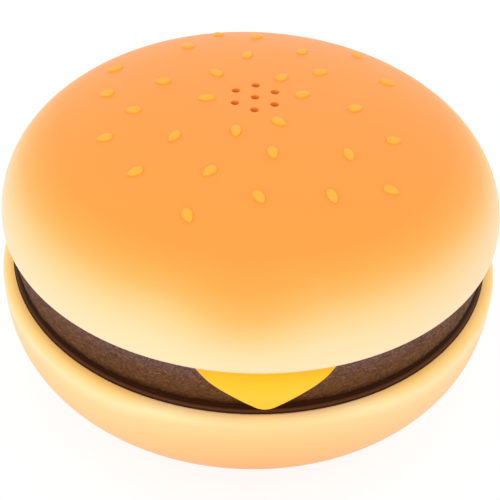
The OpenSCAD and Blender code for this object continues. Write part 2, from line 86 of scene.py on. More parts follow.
# In the rear wall: half width, nearest and farthest y, half height, all in mm
SWITCH_PAD = (7.5, 50.5, 66, 4.5)
SWITCH_WINDOW = (6, 53.5, 70, 3)
SWITCH_SLOT = (3.8, 48, 54, 1.5)
SOCKET_OPENING = (7, 45, 70, 6)
BASE_SCREW_AT = (40.0 * MM, 18.0 * MM)
BASE_SCREW_BORE_R = 3.1 * MM
BOSS_R = 4.5 * MM
BOSS_LOW_Z = 4.9 * MM
BOSS_TOP_Z = 22.0 * MM
FOOT_AT = (24.0 * MM, 24.0 * MM)
FOOT_SEAT_R = 5.02 * MM
FOOT_SEAT_Z = 3.2 * MM
BELOW = -1.0 * MM
SPIN = 256
WELD = 0.002 * MM


def arc_angles(steps, first=0):
    """Angles from 0 to a quarter turn."""
    return [math.pi / 2 * i / steps for i in range(first, steps + 1)]


def quarter(r, h, power, steps):
    """Quarter of a squared-off ellipse, from its widest point to its pole."""
    points = [
        (r * max(math.cos(a), 0) ** (2 / power), h * math.sin(a) ** (2 / power))
        for a in arc_angles(steps)
    ]
    return points[:-1] + [(0.0, h)]


def four_places(at):
    """The four places at plus and minus x and y."""
    x, y = at
    return [(-x, -y), (-x, y), (x, -y), (x, y)]


def dome_z(r, inner=False):
    """Height of the upper bun's skin, or of its lining, at a distance from the middle."""
    wall = LID_WALL if inner else 0
    return LID_Z + (LID_H - wall) * (1 - (r / (LID_R - wall)) ** LID_POWER) ** (1 / LID_POWER)


# ---- Materials ----


class Tree:
    """A material's node tree, with short calls to add and join nodes."""

    def __init__(self, name):
        self.material = bpy.data.materials.new(name)
        self.material.use_nodes = True
        self.tree = self.material.node_tree
        self.shader = self.tree.nodes["Principled BSDF"]
        self.place = self.add("ShaderNodeTexCoord").outputs["Object"]

    def add(self, kind, **settings):
        node = self.tree.nodes.new(kind)
        for key, value in settings.items():
            setattr(node, key, value)
        return node

    def join(self, output, target):
        self.tree.links.new(output, target)

    def noise(self, scale, detail=3.0, roughness=0.5, distortion=0.0, place=None):
        node = self.add("ShaderNodeTexNoise")
        node.inputs["Scale"].default_value = scale
        node.inputs["Detail"].default_value = detail
        node.inputs["Roughness"].default_value = roughness
        node.inputs["Distortion"].default_value = distortion
        self.join(place or self.place, node.inputs["Vector"])
        return node.outputs["Fac"]

    def stretched(self, x, y, z):
        """Place scaled along each axis, for a texture that isn't the same all ways."""
        node = self.add("ShaderNodeMapping")
        node.inputs["Scale"].default_value = (x, y, z)
        self.join(self.place, node.inputs["Vector"])
        return node.outputs["Vector"]

    def calc(self, operation, *terms):
        """A math node whose terms are outputs or plain numbers."""
        node = self.add("ShaderNodeMath", operation=operation)
        for term, target in zip(terms, node.inputs):
            if isinstance(term, float):
                target.default_value = term
            else:
                self.join(term, target)
        return node.outputs[0]

    def ridges(self, factor):
        """1 along the lines where a factor is one half, falling to 0 away from them."""
        return self.calc("MULTIPLY", self.calc("PINGPONG", factor, 0.5), 2.0)

    def near(self, point, reach):
        """1 at a point, falling softly to 0 at a distance from it."""
        away = self.add("ShaderNodeVectorMath", operation="DISTANCE")
        self.join(self.place, away.inputs[0])
        away.inputs[1].default_value = point
        scaled = self.add("ShaderNodeMapRange", interpolation_type="SMOOTHSTEP")
        scaled.inputs["From Min"].default_value = reach
        scaled.inputs["From Max"].default_value = 0.0
        self.join(away.outputs["Value"], scaled.inputs["Value"])
        return scaled.outputs["Result"]

    def ramp(self, factor, stops):
        node = self.add("ShaderNodeValToRGB")
        elements = node.color_ramp.elements
        while len(elements) < len(stops):
            elements.new(0.5)
        for element, (position, colour) in zip(elements, stops):
            element.position = position
            element.color = (*colour, 1)
        self.join(factor, node.inputs["Fac"])
        return node.outputs["Color"]

    def bump(self, height, strength, distance):
        node = self.add("ShaderNodeBump")
        node.inputs["Strength"].default_value = strength
        node.inputs["Distance"].default_value = distance
        self.join(height, node.inputs["Height"])
        self.join(node.outputs["Normal"], self.shader.inputs["Normal"])

    def height_between(self, low, high):
        """Height from 0 at low to 1 at high."""
        split = self.add("ShaderNodeSeparateXYZ")
        self.join(self.place, split.inputs["Vector"])
        scaled = self.add("ShaderNodeMapRange")
        scaled.inputs["From Min"].default_value = low
        scaled.inputs["From Max"].default_value = high
        self.join(split.outputs["Z"], scaled.inputs["Value"])
        return scaled.outputs["Result"]

    def tinted(self, colour, tint, factor=None):
        """A colour multiplied by another, as far as a factor says."""
        node = self.add("ShaderNodeMix", data_type="RGBA", blend_type="MULTIPLY")
        node.inputs["Factor"].default_value = 1.0
        if factor:
            self.join(factor, node.inputs["Factor"])
        self.join(colour, node.inputs["A"])
        self.join(tint, node.inputs["B"])
        return node.outputs["Result"]

    def by_height(self, height, low, high, stops):
        """Ramp whose stops are (height, colour), over a factor that runs from low to high."""
        marks = [((z - low) / (high - low), linear(*colour)) for z, colour in stops]
        return self.ramp(height, marks)

    def finish(self, roughness, metallic=0.0, coat=0.0, shine=0.5):
        self.shader.inputs["Roughness"].default_value = roughness
        self.shader.inputs["Specular IOR Level"].default_value = shine
        self.shader.inputs["Metallic"].default_value = metallic
        self.shader.inputs["Coat Weight"].default_value = coat
        return self.material


def linear(red, green, blue):
    """Colour given as it shows on a screen, 0 to 255, as the shader wants it."""
    return tuple(
        c / 12.92 if c <= 0.04045 else ((c + 0.055) / 1.055) ** 2.4
        for c in (red / 255, green / 255, blue / 255)
    )


def plain(name, colour, roughness, metallic=0.0, coat=0.0, grain=0.1, scale=900.0):
    """One colour with a fine moulded grain."""
    t = Tree(name)
    t.shader.inputs["Base Color"].default_value = (*linear(*colour), 1)
    t.bump(t.noise(scale), grain, 0.1 * MM)
    return t.finish(roughness, metallic, coat)


def painted(name, stops, low, high, patch=None, glow=None):
    """Sprayed paint whose colour changes softly with height, with painted shade and painted light
    where the stops put them: stops are (height in metres, colour).

    patch is (point, reach, rise): round the point the colour of the height plus rise shows.
    glow is (low, high, strength): painted warm light, a faint light of the paint's own, from none at
    low to full at high.
    """
    t = Tree(name)
    uneven = 0.03
    wave = t.calc("MULTIPLY_ADD", t.noise(28.0, 2.0), uneven, -uneven / 2)
    height = t.calc("ADD", t.height_between(low, high), wave)
    if patch:
        point, reach, rise = patch
        height = t.calc("MULTIPLY_ADD", t.near(point, reach), rise / (high - low), height)
    t.join(t.by_height(height, low, high, stops), t.shader.inputs["Base Color"])
    # Painted light: the paint itself gives off a faint warm light
    if glow:
        start, end, strength = glow
        glowing = t.calc("MULTIPLY", t.height_between(start, end), strength)
        t.join(glowing, t.shader.inputs["Emission Strength"])
        t.shader.inputs["Emission Color"].default_value = (1.0, 0.5, 0.16, 1)
    t.bump(t.noise(420.0, 2.0), 0.04, 0.1 * MM)
    return t.finish(0.42, shine=0.35)


def crinkled(name):
    """Dark glazed brown with small folds, like leather, with painted light: painted shade darkest in
    the groove round its foot and on its sides, a painted highlight on the bead, painted sheen at the
    top and painted glints along the folds.
    """
    t = Tree(name)
    # Colour by height: painted shade in the groove and low on the side, a painted highlight line along
    # the bead, and painted lilac sheen lighter towards the top
    zones = [
        (LIP_Z + 0.76 * MM, (44, 18, 6)),
        (LIP_Z + 0.97 * MM, (106, 58, 28)),
        (LIP_Z + 1.13 * MM, (34, 14, 5)),
        (LIP_Z + 2.4 * MM, (96, 48, 16)),
        (LIP_Z + 4.5 * MM, (152, 98, 52)),
        (LIP_Z + 8.5 * MM, (170, 116, 78)),
        (DECK_Z - 1.0 * MM, (186, 144, 142)),
    ]
    shade = t.by_height(t.height_between(LIP_Z, DECK_Z), LIP_Z, DECK_Z, zones)
    folds = t.ridges(t.noise(500.0, 2.0, 0.45, 1.6, t.stretched(1, 1, 1.7)))
    # Painted glints and shade: the crests of the folds lighter and the ground between them darker
    depth = t.ramp(folds, [
        (0.5, (0.24, 0.22, 0.21)),
        (0.85, (0.32, 0.3, 0.29)),
        (0.96, (0.4, 0.38, 0.38)),
        (1.0, (0.64, 0.64, 0.64)),
    ])
    above_bead = t.height_between(LIP_Z + 1.2 * MM, LIP_Z + 2.4 * MM)
    # Painted shade: the patty darker and warmer on its sides and back than at its front, where the
    # light falls
    front = (0.0, -0.060, 0.040)
    lit = t.ramp(t.near(front, 0.105), [(0.0, (0.7, 0.58, 0.44)), (0.6, (1.0, 1.0, 1.0))])
    t.join(t.tinted(t.tinted(shade, lit), depth, above_bead), t.shader.inputs["Base Color"])
    t.bump(t.calc("MULTIPLY", folds, above_bead), 1.0, 0.4 * MM)
    t.shader.inputs["Specular Tint"].default_value = (1.0, 0.72, 0.5, 1)
    return t.finish(0.45, shine=0.12)


def brushed(name, colour, roughness):
    """Bare metal with a fine uneven shine."""
    t = Tree(name)
    t.shader.inputs["Base Color"].default_value = (*linear(*colour), 1)
    t.bump(t.noise(2400.0, 2.0), 0.08, 0.05 * MM)
    return t.finish(roughness, 1.0)


CRUST = painted(
    "bun_crust_paint",
    [
        (0.0489, (252, 222, 178)),
        (0.0559, (252, 216, 164)),
        (0.0593, (252, 207, 144)),
        (0.0622, (252, 194, 116)),
        (0.0644, (252, 180, 90)),
        (0.0670, (252, 168, 70)),
        (0.0700, (254, 158, 60)),
        (0.0792, (255, 156, 62)),
    ],
    low=0.045,
    high=0.0792,
    patch=((-0.006, -0.062, 0.059), 0.022, 0.0034),
)
HEEL = painted(
    "bun_heel_paint",
    [
        (-0.0080, (252, 128, 40)),
        (0.0025, (252, 160, 80)),
        (0.0140, (252, 184, 114)),
        (0.0220, (252, 196, 128)),
        (0.0285, (252, 207, 142)),
        # Up to the lip the bun's own paint, lightened and warmed as painted light against the shade
        # under the patty
        (0.0322, (254, 222, 164)),
        (0.0334, (255, 214, 148)),
        (0.0344, (255, 207, 120)),
    ],
    low=-0.0100,
    high=0.0360,
    patch=((0.0, -0.072, 0.003), 0.052, -0.014),
    # Painted warm light on the lip, where the patty shades it
    glow=(0.0326, 0.0344, 0.16),
)
PATTY = crinkled("patty_glaze")
SMOOTH_BROWN = plain("patty_smooth", (84, 46, 18), 0.38, grain=0.05)
# Deeper orange-yellow towards the top: painted shade under the rim of the upper bun
CHEESE = painted(
    "cheese_paint",
    [
        (0.0350, (255, 199, 52)),
        (0.0425, (255, 195, 28)),
        (0.0455, (255, 190, 0)),
        (0.0490, (255, 195, 0)),
    ],
    low=0.0350,
    high=0.0490,
)
SEED = plain("seed_gloss", (253, 176, 44), 0.45, coat=0.02, grain=0.06, scale=500.0)
PANEL = plain("panel_satin", (236, 206, 160), 0.5, grain=0.15)
KEY = plain("key_satin", (246, 238, 220), 0.4, grain=0.05)
INK = plain("key_ink", (70, 34, 14), 0.5, grain=0.05)
SILICONE = plain("mat_silicone", (142, 146, 150), 0.7)
BOARD = plain("board_mask", (34, 96, 52), 0.35, grain=0.08)
BLACK = plain("moulded_black", (26, 26, 27), 0.5, grain=0.2)
RUBBER = plain("rubber_black", (34, 34, 35), 0.75, grain=0.3)
BLUE = plain("sleeve_blue", (40, 66, 128), 0.4)
LEAD = plain("lead_red", (172, 48, 38), 0.5)
STEEL = brushed("zinc_steel", (196, 198, 202), 0.32)
WIRE = brushed("spring_wire", (206, 208, 212), 0.22)
ALUMINIUM = brushed("can_metal", (188, 190, 194), 0.38)
GOLD = brushed("contact_gold", (232, 196, 96), 0.25)

CAD_FINISH = {
    PANEL: ["earpiece_panel"],
    SMOOTH_BROWN: ["patty", "ringer_knob", "tone_knob"],
    KEY: ["hook_plunger"],
    SILICONE: ["key_mat"],
    BOARD: ["main_board"],
    BLACK: ["dial_chip", "line_jack", "hook_switch", "ringer_switch", "tone_switch", "ringer"],
    RUBBER: ["feet", "lid_bumpers", "mic_boot", "speaker_gasket"],
    BLUE: ["capacitors"],
    LEAD: ["base_leads", "lid_leads"],
    STEEL: ["base_screws", "board_screws", "lid_screws", "hinge_pins"],
    WIRE: ["hook_spring"],
    ALUMINIUM: ["microphone", "ear_speaker"],
    GOLD: ["jack_contacts"],
}


def dress_cad_nodes():
    for finish, names in CAD_FINISH.items():
        for name in names:
            for slot in nodes[name].material_slots:
                slot.material = finish


# ---- Mesh making ----


def piece(name, bm, body, finish, replaced=(), sharp=38):
    """Turns bm into a smooth-shaded piece that rides on a body."""
    bmesh.ops.remove_doubles(bm, verts=bm.verts, dist=WELD)
    bmesh.ops.recalc_face_normals(bm, faces=bm.faces)
    mesh = bpy.data.meshes.new(name)
    bm.to_mesh(mesh)
    bm.free()
    obj = bpy.data.objects.new(name, mesh)
    bpy.context.collection.objects.link(obj)
    mesh.materials.append(finish)
    mesh.shade_smooth()
    mesh.set_sharp_from_angle(angle=math.radians(sharp))
    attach(obj, body)
    if replaced:
        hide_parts(*replaced)
    return obj


def spin(bm, profile, segments=SPIN):
    """Turns a profile of (radius, height) points about Z."""
    rings = []
    for r, z in profile:
        turns = [2 * math.pi * i / segments for i in range(segments)]
        rings.append([bm.verts.new((r * math.cos(a), r * math.sin(a), z)) for a in turns])
    for low, high in zip(rings, rings[1:]):
        for i in range(segments):
            j = (i + 1) % segments
            bm.faces.new((low[i], low[j], high[j], high[i]))


def circle(x, y, r, count, clockwise=False):
    """Points of a flat circle."""
    way = -1 if clockwise else 1
    return [
        Vector((x + r * math.cos(way * 2 * math.pi * i / count),
                y + r * math.sin(way * 2 * math.pi * i / count)))
        for i in range(count)
    ]


def rounded_rect(x, y, w, d, r, steps=6, clockwise=False):
    """Points of a flat rectangle with round corners, with its middle at x, y."""
    points = []
    for corner, (sx, sy) in enumerate([(1, 1), (-1, 1), (-1, -1), (1, -1)]):
        for i in range(steps + 1):
            a = math.pi / 2 * (corner + i / steps)
            points.append(Vector((
                x + sx * (w / 2 - r) + r * math.cos(a),
                y + sy * (d / 2 - r) + r * math.sin(a),
            )))
    return points[::-1] if clockwise else points


def moved_in(loop, distance):
    """A closed loop moved to its left."""
    moved = []
    for i, point in enumerate(loop):
        before = (point - loop[i - 1]).normalized()
        after = (loop[(i + 1) % len(loop)] - point).normalized()
        left = Vector((-before.y - after.y, before.x + after.x)).normalized()
        lean = max(left.dot(Vector((-after.y, after.x))), 0.5)
        moved.append(point + left * distance / lean)
    return moved


def inside(point, loop):
    """Whether a flat point lies within a closed loop."""
    crossed = False
    for a, b in zip(loop, loop[1:] + loop[:1]):
        if (a.y > point.y) != (b.y > point.y):
            if point.x < a.x + (point.y - a.y) / (b.y - a.y) * (b.x - a.x):
                crossed = not crossed
    return crossed


def sheet_between(bm, loops, filling, place, lift):
    """Triangles over the flat area that the first loop bounds and the others leave open."""
    points = []
    edges = []
    for loop in loops:
        start = len(points)
        points += loop
        edges += [(start + i, start + (i + 1) % len(loop)) for i in range(len(loop))]
    for point in filling:
        if inside(point, loops[0]) and not any(inside(point, hole) for hole in loops[1:]):
            points.append(point)
    flat, _, faces, _, _, _ = geometry.delaunay_2d_cdt(points, edges, [], 1, 1e-8)
    verts = [bm.verts.new(place(p, lift)) for p in flat]
    for face in faces:
        centre = sum((flat[i] for i in face), Vector((0, 0))) / len(face)
        if not any(inside(centre, hole) for hole in loops[1:]):
            bm.faces.new([verts[i] for i in face])


def plate(bm, loops, thickness, place, edge, filling=(), open_rim=False):
    """Plate with openings and rounded upper edges.

    The first loop runs anticlockwise round it, the others clockwise round its openings.
    place gives the point in space over a flat point at a lift from 0 to the thickness.
    With open_rim the outer loop gets no side wall, so that it can join another surface.
    """
    steps = [(0.0, 0.0)] + [
        (edge * (1 - math.cos(a)), thickness - edge + edge * math.sin(a)) for a in arc_angles(4)
    ]
    walled = loops[1:] if open_rim else loops
    for loop in walled:
        rows = [[bm.verts.new(place(p, lift)) for p in moved_in(loop, way)] for way, lift in steps]
        for low, high in zip(rows, rows[1:]):
            for i in range(len(loop)):
                j = (i + 1) % len(loop)
                bm.faces.new((low[i], low[j], high[j], high[i]))
    tops = [loop if open_rim and k == 0 else moved_in(loop, edge) for k, loop in enumerate(loops)]
    sheet_between(bm, tops, filling, place, thickness)
    sheet_between(bm, loops, filling, place, 0.0)


def box_mesh(bm, low, high):
    """Box between two corners."""
    made = bmesh.ops.create_cube(bm, size=1.0)
    low, high = Vector(low), Vector(high)
    for vert in made["verts"]:
        vert.co = Vector((low[i] + (vert.co[i] + 0.5) * (high[i] - low[i]) for i in range(3)))


def rod(bm, centre, r, z0, z1, count=48):
    """Upright closed cylinder."""
    rings = [[bm.verts.new((p.x, p.y, z)) for p in circle(*centre, r, count)] for z in (z0, z1)]
    for i in range(count):
        j = (i + 1) % count
        bm.faces.new((rings[0][i], rings[0][j], rings[1][j], rings[1][i]))
    bm.faces.new(rings[0][::-1])
    bm.faces.new(rings[1])


def shaped(bm, tool, operation):
    """bm after an exact boolean with the tool mesh."""
    parts = []
    for source in (bm, tool):
        bmesh.ops.remove_doubles(source, verts=source.verts, dist=WELD)
        bmesh.ops.recalc_face_normals(source, faces=source.faces)
        mesh = bpy.data.meshes.new("work")
        source.to_mesh(mesh)
        source.free()
        obj = bpy.data.objects.new("work", mesh)
        bpy.context.collection.objects.link(obj)
        parts.append(obj)
    change = parts[0].modifiers.new("change", "BOOLEAN")
    change.operation = operation
    change.solver = "EXACT"
    change.object = parts[1]
    bpy.context.view_layer.update()
    evaluated = parts[0].evaluated_get(bpy.context.evaluated_depsgraph_get())
    result = bmesh.new()
    result.from_mesh(evaluated.to_mesh())
    evaluated.to_mesh_clear()
    for obj in parts:
        mesh = obj.data
        bpy.data.objects.remove(obj)
        bpy.data.meshes.remove(mesh)
    return result


# ---- Upper bun ----


def make_top_bun():
    """Domed shell with a rounded rim and the seven holes in its crown."""
    bm = bmesh.new()
    outer = [(r, LID_Z + z) for r, z in quarter(LID_R, LID_H, LID_POWER, 64)]
    rim = [
        (LID_R - LID_WALL, LID_Z),
        (LID_R - 1.0 * MM, LID_Z),
        (LID_R - 0.55 * MM, LID_Z + 0.1 * MM),
        (LID_R - 0.2 * MM, LID_Z + 0.35 * MM),
        (LID_R - 0.03 * MM, LID_Z + 0.8 * MM),
    ]
    skin = [p for p in outer if p[1] > LID_Z + 1.2 * MM and p[0] > CROWN_R + 0.3 * MM]
    spin(bm, rim + skin + [(CROWN_R, dome_z(CROWN_R))])
    inner = quarter(LID_R - LID_WALL, LID_H - LID_WALL, LID_POWER, 32)
    lining = [(r, LID_Z + z) for r, z in inner if r > CROWN_R + 0.5 * MM]
    spin(bm, lining + [(CROWN_R, dome_z(CROWN_R, inner=True))])

    def place(p, lift):
        r = p.length
        low = dome_z(r, inner=True)
        return (p.x, p.y, low + (dome_z(r) - low) * lift / LID_WALL)

    holes = [(0, 0)]
    for i in range(6):
        a = math.radians(HOLE_TURN + 60 * i)
        holes.append((HOLE_PITCH * math.cos(a), HOLE_PITCH * math.sin(a)))
    loops = [circle(0, 0, CROWN_R, SPIN)]
    loops += [circle(x, y, HOLE_D / 2, 28, clockwise=True) for x, y in holes]
    filling = [p for r in range(1, 24) for p in circle(0, 0, r * 0.5 * MM, 12 + 6 * r)]
    plate(bm, loops, LID_WALL, place, HOLE_EDGE, filling, open_rim=True)
    piece("bun_crown", bm, "lid", CRUST, ["top_bun"])


def islands(bm):
    """The vertices of each separate shell of a mesh."""
    seen = set()
    for first in bm.verts:
        if first in seen:
            continue
        seen.add(first)
        island = [first]
        for vert in island:
            for edge in vert.link_edges:
                other = edge.other_vert(vert)
                if other not in seen:
                    seen.add(other)
                    island.append(other)
        yield island


def make_seeds():
    """A plump pointed seed on every CAD seed, lying the way that one lies."""
    source = bmesh.new()
    source.from_mesh(nodes["sesame_seeds"].data)
    bmesh.ops.remove_doubles(source, verts=source.verts, dist=0.01 * MM)
    bm = bmesh.new()
    for island in islands(source):
        add_seed(bm, np.array([v.co for v in island]))
    source.free()
    piece("seeds_sesame", bm, "lid", SEED, ["sesame_seeds"], sharp=180)


SEED_HALF_L = 2.0 * MM
SEED_HALF_W = 1.3 * MM
SEED_PROUD = 0.85 * MM


def add_seed(bm, cloud):
    """Seed over a cloud of points, blunt at one end."""
    centre = Vector((cloud.min(0) + cloud.max(0)) / 2)
    r = math.hypot(centre.x, centre.y)
    step = 0.1 * MM
    slope = (dome_z(r + step) - dome_z(r - step)) / (2 * step)
    up = Vector((-slope * centre.x / r, -slope * centre.y / r, 1)).normalized()
    spread = np.linalg.eigh(np.cov((cloud - cloud.mean(0)).T))
    along = Vector(spread[1][:, 2])
    along = (along - up * along.dot(up)).normalized()
    ends = (cloud - np.array(centre)) @ np.array(along)
    # The blunt end lies where the seed is still wide
    if np.mean(ends ** 3) < 0:
        along = -along
    turn = Matrix((along, up.cross(along), up)).transposed()
    lengthwise, round_it = 16, 20
    surface = Vector((centre.x, centre.y, dome_z(r)))
    rows = []
    for i in range(lengthwise + 1):
        a = math.pi * i / lengthwise
        wide = SEED_HALF_W * math.sin(a) * (1 + 0.22 * math.cos(a))
        high = SEED_PROUD * math.sin(a) ** 0.7
        row = []
        for j in range(round_it):
            b = 2 * math.pi * j / round_it
            point = Vector((-SEED_HALF_L * math.cos(a), wide * math.cos(b), high * math.sin(b)))
            row.append(bm.verts.new(surface + turn @ point))
        rows.append(row)
    for near, far in zip(rows, rows[1:]):
        for j in range(round_it):
            k = (j + 1) % round_it
            bm.faces.new((near[j], near[k], far[k], far[j]))


# ---- Lower bun ----


def lower_bun_skin():
    """Outline of the lower bun from the middle of its floor up to its lip."""
    side = quarter(BASE_R, BASE_WIDEST_Z, BASE_POWER, 60)
    flank = [(r, BASE_WIDEST_Z - z) for r, z in reversed(side) if BASE_WIDEST_Z - z > BASE_FLOOR_Z]
    floor_r = flank[0][0] - 1.5 * MM
    lip = [
        (LIP_R + (BASE_R - LIP_R) * math.cos(a), BASE_WIDEST_Z + (LIP_Z - BASE_WIDEST_Z) * math.sin(a))
        for a in arc_angles(10, first=1)
    ]
    return [(0, BASE_FLOOR_Z), (floor_r, BASE_FLOOR_Z)] + flank + lip


def lower_bun_lining():
    """Outline of the inside of the lower bun, from its mouth down to the middle of its floor."""
    floor_top = BASE_FLOOR_Z + BASE_WALL
    side = quarter(BASE_R - BASE_WALL, BASE_WIDEST_Z - BASE_WALL, BASE_POWER, 30)
    lining = [(r, BASE_WIDEST_Z - z) for r, z in side if BASE_WIDEST_Z - z > floor_top]
    return [(MOUTH_R, LIP_Z), (MOUTH_R, LIP_Z - 1.2 * MM)] + lining + [(0, floor_top)]


def rear_box(bm, x, half_w, near_y, far_y, half_h):
    """Box into the rear wall at the height of the openings there: x in metres, the rest in mm."""
    box_mesh(
        bm,
        (x - half_w * MM, near_y * MM, REAR_Z - half_h * MM),
        (x + half_w * MM, far_y * MM, REAR_Z + half_h * MM),
    )


def switch_pads():
    """Thick places of the rear wall behind the two slide switches."""
    solid = bmesh.new()
    spin(solid, lower_bun_skin() + [(0, LIP_Z)], 96)
    pads = bmesh.new()
    for x in (-SWITCH_X, SWITCH_X):
        rear_box(pads, x, *SWITCH_PAD)
    return shaped(pads, solid, "INTERSECT")


def lower_bun_openings():
    """Switch windows with their slots, the line socket, and the seats of screws and feet."""
    cuts = bmesh.new()
    for x in (-SWITCH_X, SWITCH_X):
        rear_box(cuts, x, *SWITCH_WINDOW)
        rear_box(cuts, x, *SWITCH_SLOT)
    rear_box(cuts, 0, *SOCKET_OPENING)
    for place in four_places(BASE_SCREW_AT):
        rod(cuts, place, BASE_SCREW_BORE_R, BELOW, 16 * MM)
    for place in four_places(FOOT_AT):
        rod(cuts, place, FOOT_SEAT_R, BELOW, FOOT_SEAT_Z)
    return cuts


def make_lower_bun():
    """Bowl with the openings in its rear wall and floor, and the tubes round its screws."""
    bm = bmesh.new()
    spin(bm, lower_bun_skin() + lower_bun_lining())
    bm = shaped(bm, switch_pads(), "UNION")
    bm = shaped(bm, lower_bun_openings(), "DIFFERENCE")
    piece("bun_heel", bm, "base", HEEL, ["lower_bun"])
    tubes = bmesh.new()
    for place in four_places(BASE_SCREW_AT):
        add_tube(tubes, place, BASE_SCREW_BORE_R, BOSS_R, BOSS_LOW_Z, BOSS_TOP_Z)
    piece("bun_heel_bosses", tubes, "base", HEEL)


def add_tube(bm, centre, r_in, r_out, z0, z1, count=40):
    """Upright tube."""
    rows = []
    for r, z in ((r_in, z0), (r_out, z0), (r_out, z1), (r_in, z1)):
        rows.append([bm.verts.new((p.x, p.y, z)) for p in circle(*centre, r, count)])
    for near, far in zip(rows, rows[1:] + rows[:1]):
        for i in range(count):
            j = (i + 1) % count
            bm.faces.new((near[i], near[j], far[j], far[i]))


# ---- Patty ----


WANDER_SCALE = 170
FOLD_SCALE = 640
SWELL_SCALE = 120


def crinkle(p):
    """Height of the folds at a point, from 0 to about 1: winding cells on a soft swell."""
    w = p * WANDER_SCALE
    wander = Vector((noise.noise(w), noise.noise(w + Vector((7, 3, 1))), 0)) * 1.2 * MM
    q = (p + wander) * FOLD_SCALE
    q.z *= 1.5
    nearest, second = noise.voronoi(q)[0][:2]
    cells = min(max((second - nearest) * 2.2, 0), 1)
    swell = 0.5 + 0.5 * noise.noise(p * SWELL_SCALE)
    return 0.55 * cells * (0.5 + 0.5 * swell) + 0.45 * swell


CRUST_OVER = 0.06 * MM
CRUST_INNER_R = 46.0 * MM
FOLD_HEIGHT = 0.5 * MM
FOLDS_FROM_Z = 36.0 * MM
CRUST_SIDE_ROWS = 40
CRUST_DECK_RINGS = 14
SHOULDER_Z = DECK_Z - DECK_EDGE_R


def crust_profile():
    """Outline of the skin: bead round the foot, bulging side, rounded shoulder, rim of the deck."""
    bead = [
        (60.2, -0.8), (60.2, 0.15), (61.7, 0.15), (62.0, 0.3), (62.1, 0.55), (61.95, 0.8),
        (61.6, 0.98), (61.0, 1.1), (60.65, 1.25), (60.55, 1.5),
    ]
    profile = [(r * MM, LIP_Z + z * MM) for r, z in bead]
    foot_z = 36.1 * MM
    for i in range(CRUST_SIDE_ROWS + 1):
        z = foot_z + (SHOULDER_Z - foot_z) * i / CRUST_SIDE_ROWS
        bulge = max(1 - ((z - 40.6 * MM) / (4.2 * MM)) ** 2, 0.1)
        profile.append((DECK_R + DECK_EDGE_R - 0.05 * MM + 0.5 * MM * bulge + CRUST_OVER, z))
    shoulder_r = DECK_EDGE_R + CRUST_OVER
    for a in arc_angles(18, first=1):
        profile.append((DECK_R + shoulder_r * math.cos(a), SHOULDER_Z + shoulder_r * math.sin(a)))
    for i in range(1, CRUST_DECK_RINGS + 1):
        r = DECK_R + (CRUST_INNER_R - DECK_R) * i / CRUST_DECK_RINGS
        profile.append((r, DECK_Z + CRUST_OVER))
    return profile


def folded_out(p, r):
    """A point of the smooth skin at radius r, moved outwards by the folds there."""
    from_foot = min(max((p.z - FOLDS_FROM_Z) / (0.9 * MM), 0), 1)
    from_inside = min((r - CRUST_INNER_R) / (1.0 * MM), 1)
    # Smooth beside the hinge, where the open lid comes close
    from_hinge = min(max((57 * MM - p.y) / (8 * MM), 0), 1)
    fade = from_foot * from_inside * from_hinge
    if fade <= 0:
        return p
    out = Vector((p.x, p.y, 0)).normalized()
    if p.z > SHOULDER_Z:
        up = min((p.z - SHOULDER_Z) / DECK_EDGE_R, 1)
        out = out * math.sqrt(1 - up * up) + Vector((0, 0, up))
    return p + out * FOLD_HEIGHT * fade * crinkle(p)


def make_patty_crust():
    """Crinkled skin over the side and the rim of the CAD patty, open where the hinge pocket is."""
    around, across = 960, 100
    profile = crust_profile()
    bm = bmesh.new()
    grid = []
    for r, z in profile:
        gap = math.asin(POCKET_HALF_W / r)
        start = math.pi / 2 + gap
        turns = [start + (2 * math.pi - 2 * gap) * i / around for i in range(around + 1)]
        turns += [math.pi / 2 - gap + 2 * gap * j / across for j in range(1, across)]
        row = [folded_out(Vector((r * math.cos(a), r * math.sin(a), z)), r) for a in turns]
        grid.append([bm.verts.new(point) for point in row])
    total = around + across
    for (_, z), low, high in zip(profile, grid, grid[1:]):
        columns = total if z < POCKET_FLOOR_Z - 0.2 * MM else around
        for i in range(columns):
            j = (i + 1) % total
            bm.faces.new((low[i], low[j], high[j], high[i]))
    piece("patty_crust", bm, "base", PATTY, sharp=180)


# ---- Cheese ----


CHEESE_BOW = 0.35 * MM
CHEESE_BOW_L = 7.0 * MM


def fold(p, lift):
    """Lays a flat point of the slice on the patty, bending it down past the edge."""
    r = p.length
    past = r - DECK_R
    if past <= 0:
        return (p.x, p.y, DECK_Z + lift)
    arc = DECK_EDGE_R * math.pi / 2
    a = min(past / arc, 1) * math.pi / 2
    down = max(past - arc, 0)
    out = DECK_R + (DECK_EDGE_R + lift) * math.sin(a)
    z = SHOULDER_Z + (DECK_EDGE_R + lift) * math.cos(a) - down
    out += CHEESE_BOW * math.sin(min(down / CHEESE_BOW_L, 1) * math.pi)
    return (out * p.x / r, out * p.y / r, z)


KEYS = [
    ("key_1", "1"), ("key_2", "2"), ("key_3", "3"),
    ("key_4", "4"), ("key_5", "5"), ("key_6", "6"),
    ("key_7", "7"), ("key_8", "8"), ("key_9", "9"),
    ("key_star", "*"), ("key_0", "0"), ("key_hash", "#"),
    ("key_flash", ""), ("key_redial", ""),
]
KEY_FLANGE = 1.2 * MM
KEY_FLANGE_T = 1.4 * MM
KEY_CROWN = 0.25 * MM
KEY_CORNER_R = 3.0 * MM
INK_T = 0.03 * MM


def key_size(name):
    """Middle of a key and the width, depth and top of its cap."""
    middle, size = middle_and_size(name)
    return middle, size.x - 2 * KEY_FLANGE, size.y - 2 * KEY_FLANGE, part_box(name)[1][2]


